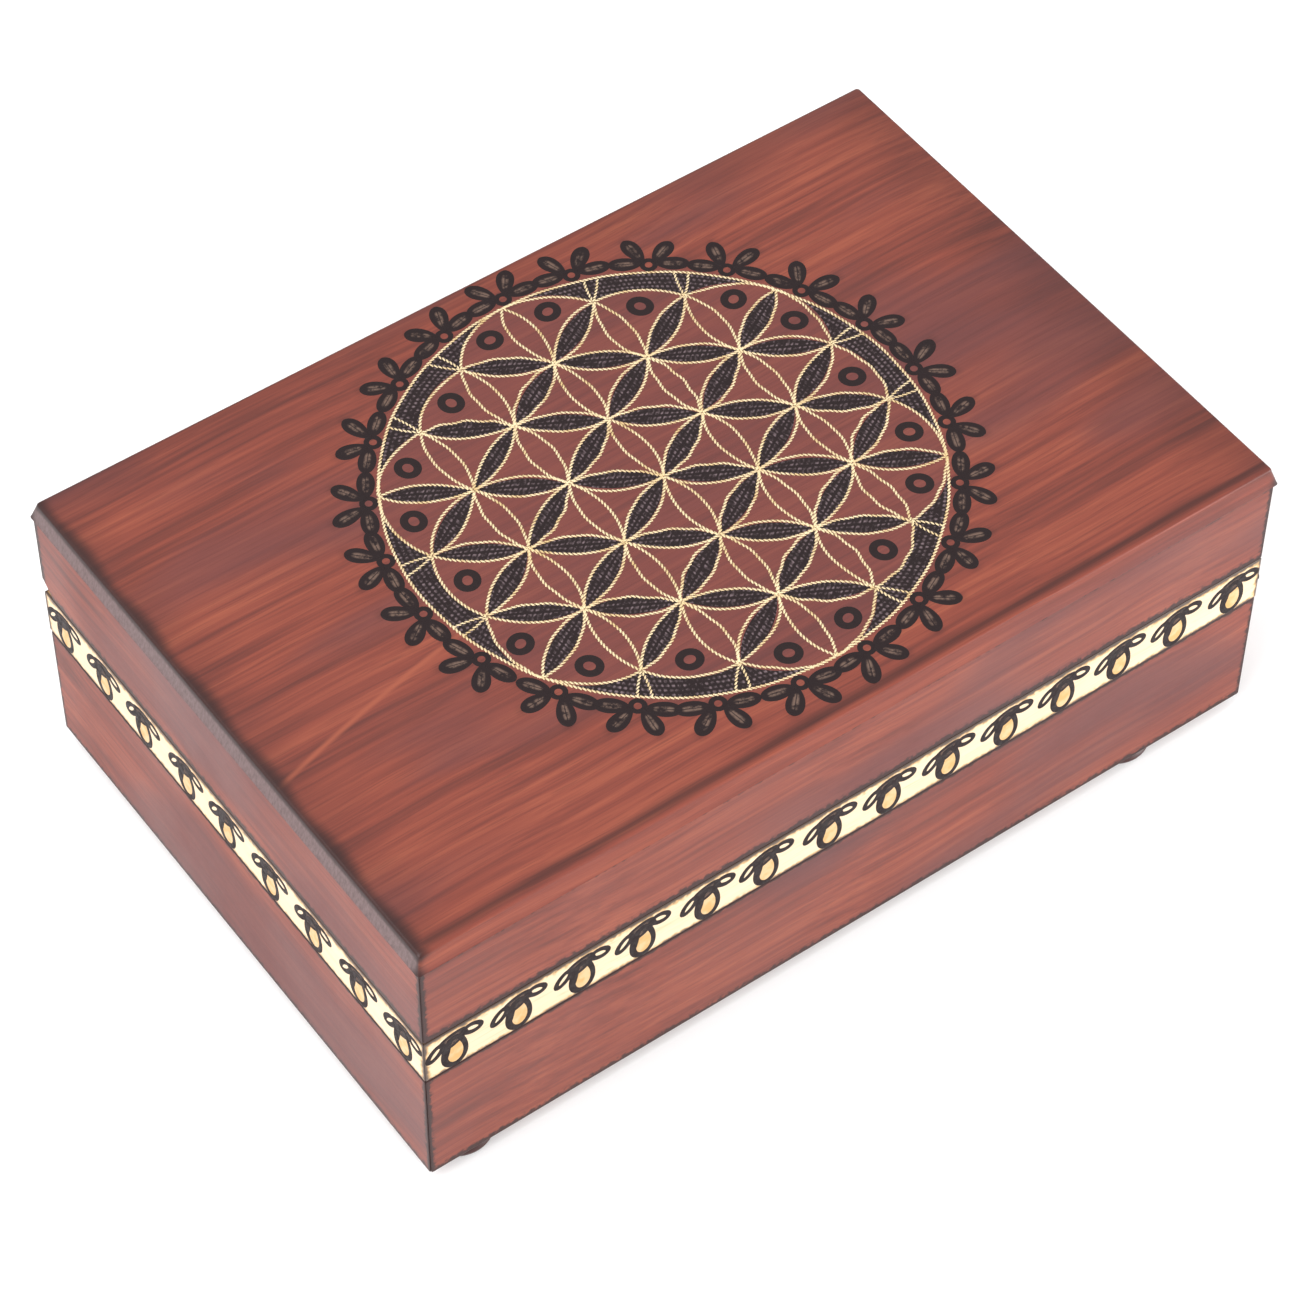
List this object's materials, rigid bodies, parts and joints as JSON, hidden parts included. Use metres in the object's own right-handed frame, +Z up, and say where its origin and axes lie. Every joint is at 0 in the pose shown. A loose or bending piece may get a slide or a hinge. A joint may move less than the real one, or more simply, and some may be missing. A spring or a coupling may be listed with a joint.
{
  "type": "inlaid wooden box",
  "caption": "Low rectangular keepsake box with a hinged lid, a light rim band and a round wire inlay of interlaced circles on the lid.",
  "frame": {"origin": "on the resting surface, under the centre of the box", "axes": "+X to the right along the long front, +Y from the front to the hinged back, +Z up"},
  "size_m": [0.2212, 0.1472, 0.0793],
  "materials": {
    "stained_wood": "red-brown stained linden with satin varnish",
    "light_wood": "clear varnished light wood with burnt ornament",
    "panel_wood": "plain sanded panel",
    "foot_wood": "dark stained turned wood",
    "inlay_brass": "fine twisted brass wire",
    "hinge_brass": "plain brass, lightly dulled"
  },
  "bodies": {
    "base": {"base_front": "stained_wood", "base_back": "stained_wood", "base_left": "stained_wood", "base_right": "stained_wood", "base_floor": "panel_wood", "band_front": "light_wood", "band_back": "light_wood", "band_left": "light_wood", "band_right": "light_wood", "foot_front_left": "foot_wood", "foot_front_right": "foot_wood", "foot_back_left": "foot_wood", "foot_back_right": "foot_wood", "hinge_base_leaf_left": "hinge_brass", "hinge_base_leaf_right": "hinge_brass", "hinge_pin_left": "hinge_brass", "hinge_pin_right": "hinge_brass", "hinge_screws_base": "hinge_brass"},
    "lid": {"lid_front": "stained_wood", "lid_back": "stained_wood", "lid_left": "stained_wood", "lid_right": "stained_wood", "lid_board": "stained_wood", "hinge_lid_leaf_left": "hinge_brass", "hinge_lid_leaf_right": "hinge_brass", "hinge_screws_lid": "hinge_brass", "inlay_ring": "inlay_brass", "inlay_lattice": "inlay_brass"}
  },
  "joints": [
    {"name": "lid_hinge", "type": "hinge", "parent": "base", "child": "lid", "pos_m": [0, 0.0713, 0.0504], "axis": [-1, 0, 0], "range_deg": [0, 100]}
  ]
}
